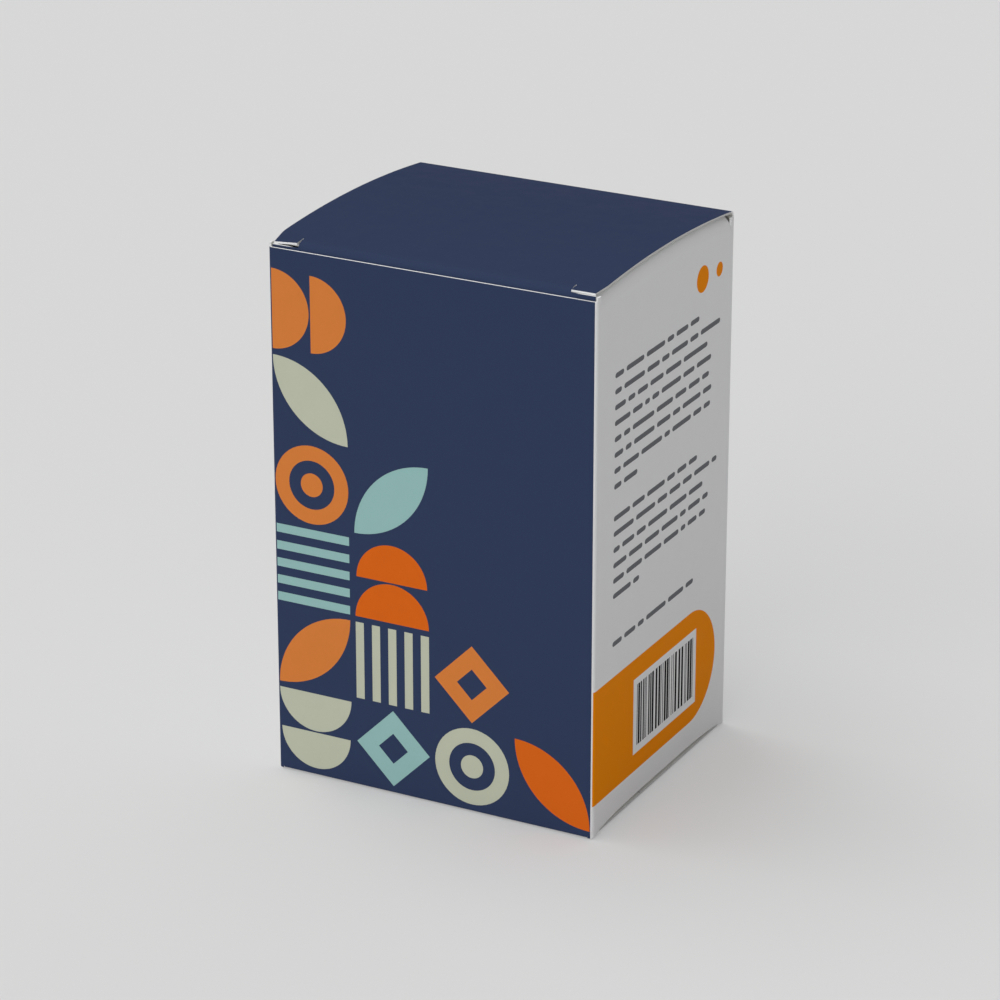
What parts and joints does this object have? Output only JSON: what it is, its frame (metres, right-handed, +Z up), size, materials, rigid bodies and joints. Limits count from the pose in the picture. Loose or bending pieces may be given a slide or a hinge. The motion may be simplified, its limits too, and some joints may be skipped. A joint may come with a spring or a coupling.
{
  "type": "auto bottom box",
  "caption": "Small upright folding carton with an auto-lock bottom, dust flaps and a slit-lock tuck lid hinged at the back.",
  "frame": {"origin": "centre of the underside, on the surface the box stands on", "axes": "+Z up, +Y from the front panel to the back panel that carries the lid, +X to the right seen from the front"},
  "size_m": [0.08, 0.069, 0.1278],
  "materials": {
    "board_carton": "white folding boxboard, offset printed in navy with coloured shapes, matt varnish",
    "board_lid": "white folding boxboard, printed plain navy outside, matt varnish"
  },
  "bodies": {
    "carton": {"carton": "board_carton"},
    "lid": {"lid": "board_lid"}
  },
  "joints": [
    {"name": "lid_hinge", "type": "hinge", "parent": "carton", "child": "lid", "pos_m": [0, 0.03421, 0.12521], "axis": [-1, 0, 0], "range_deg": [0, 175]}
  ]
}
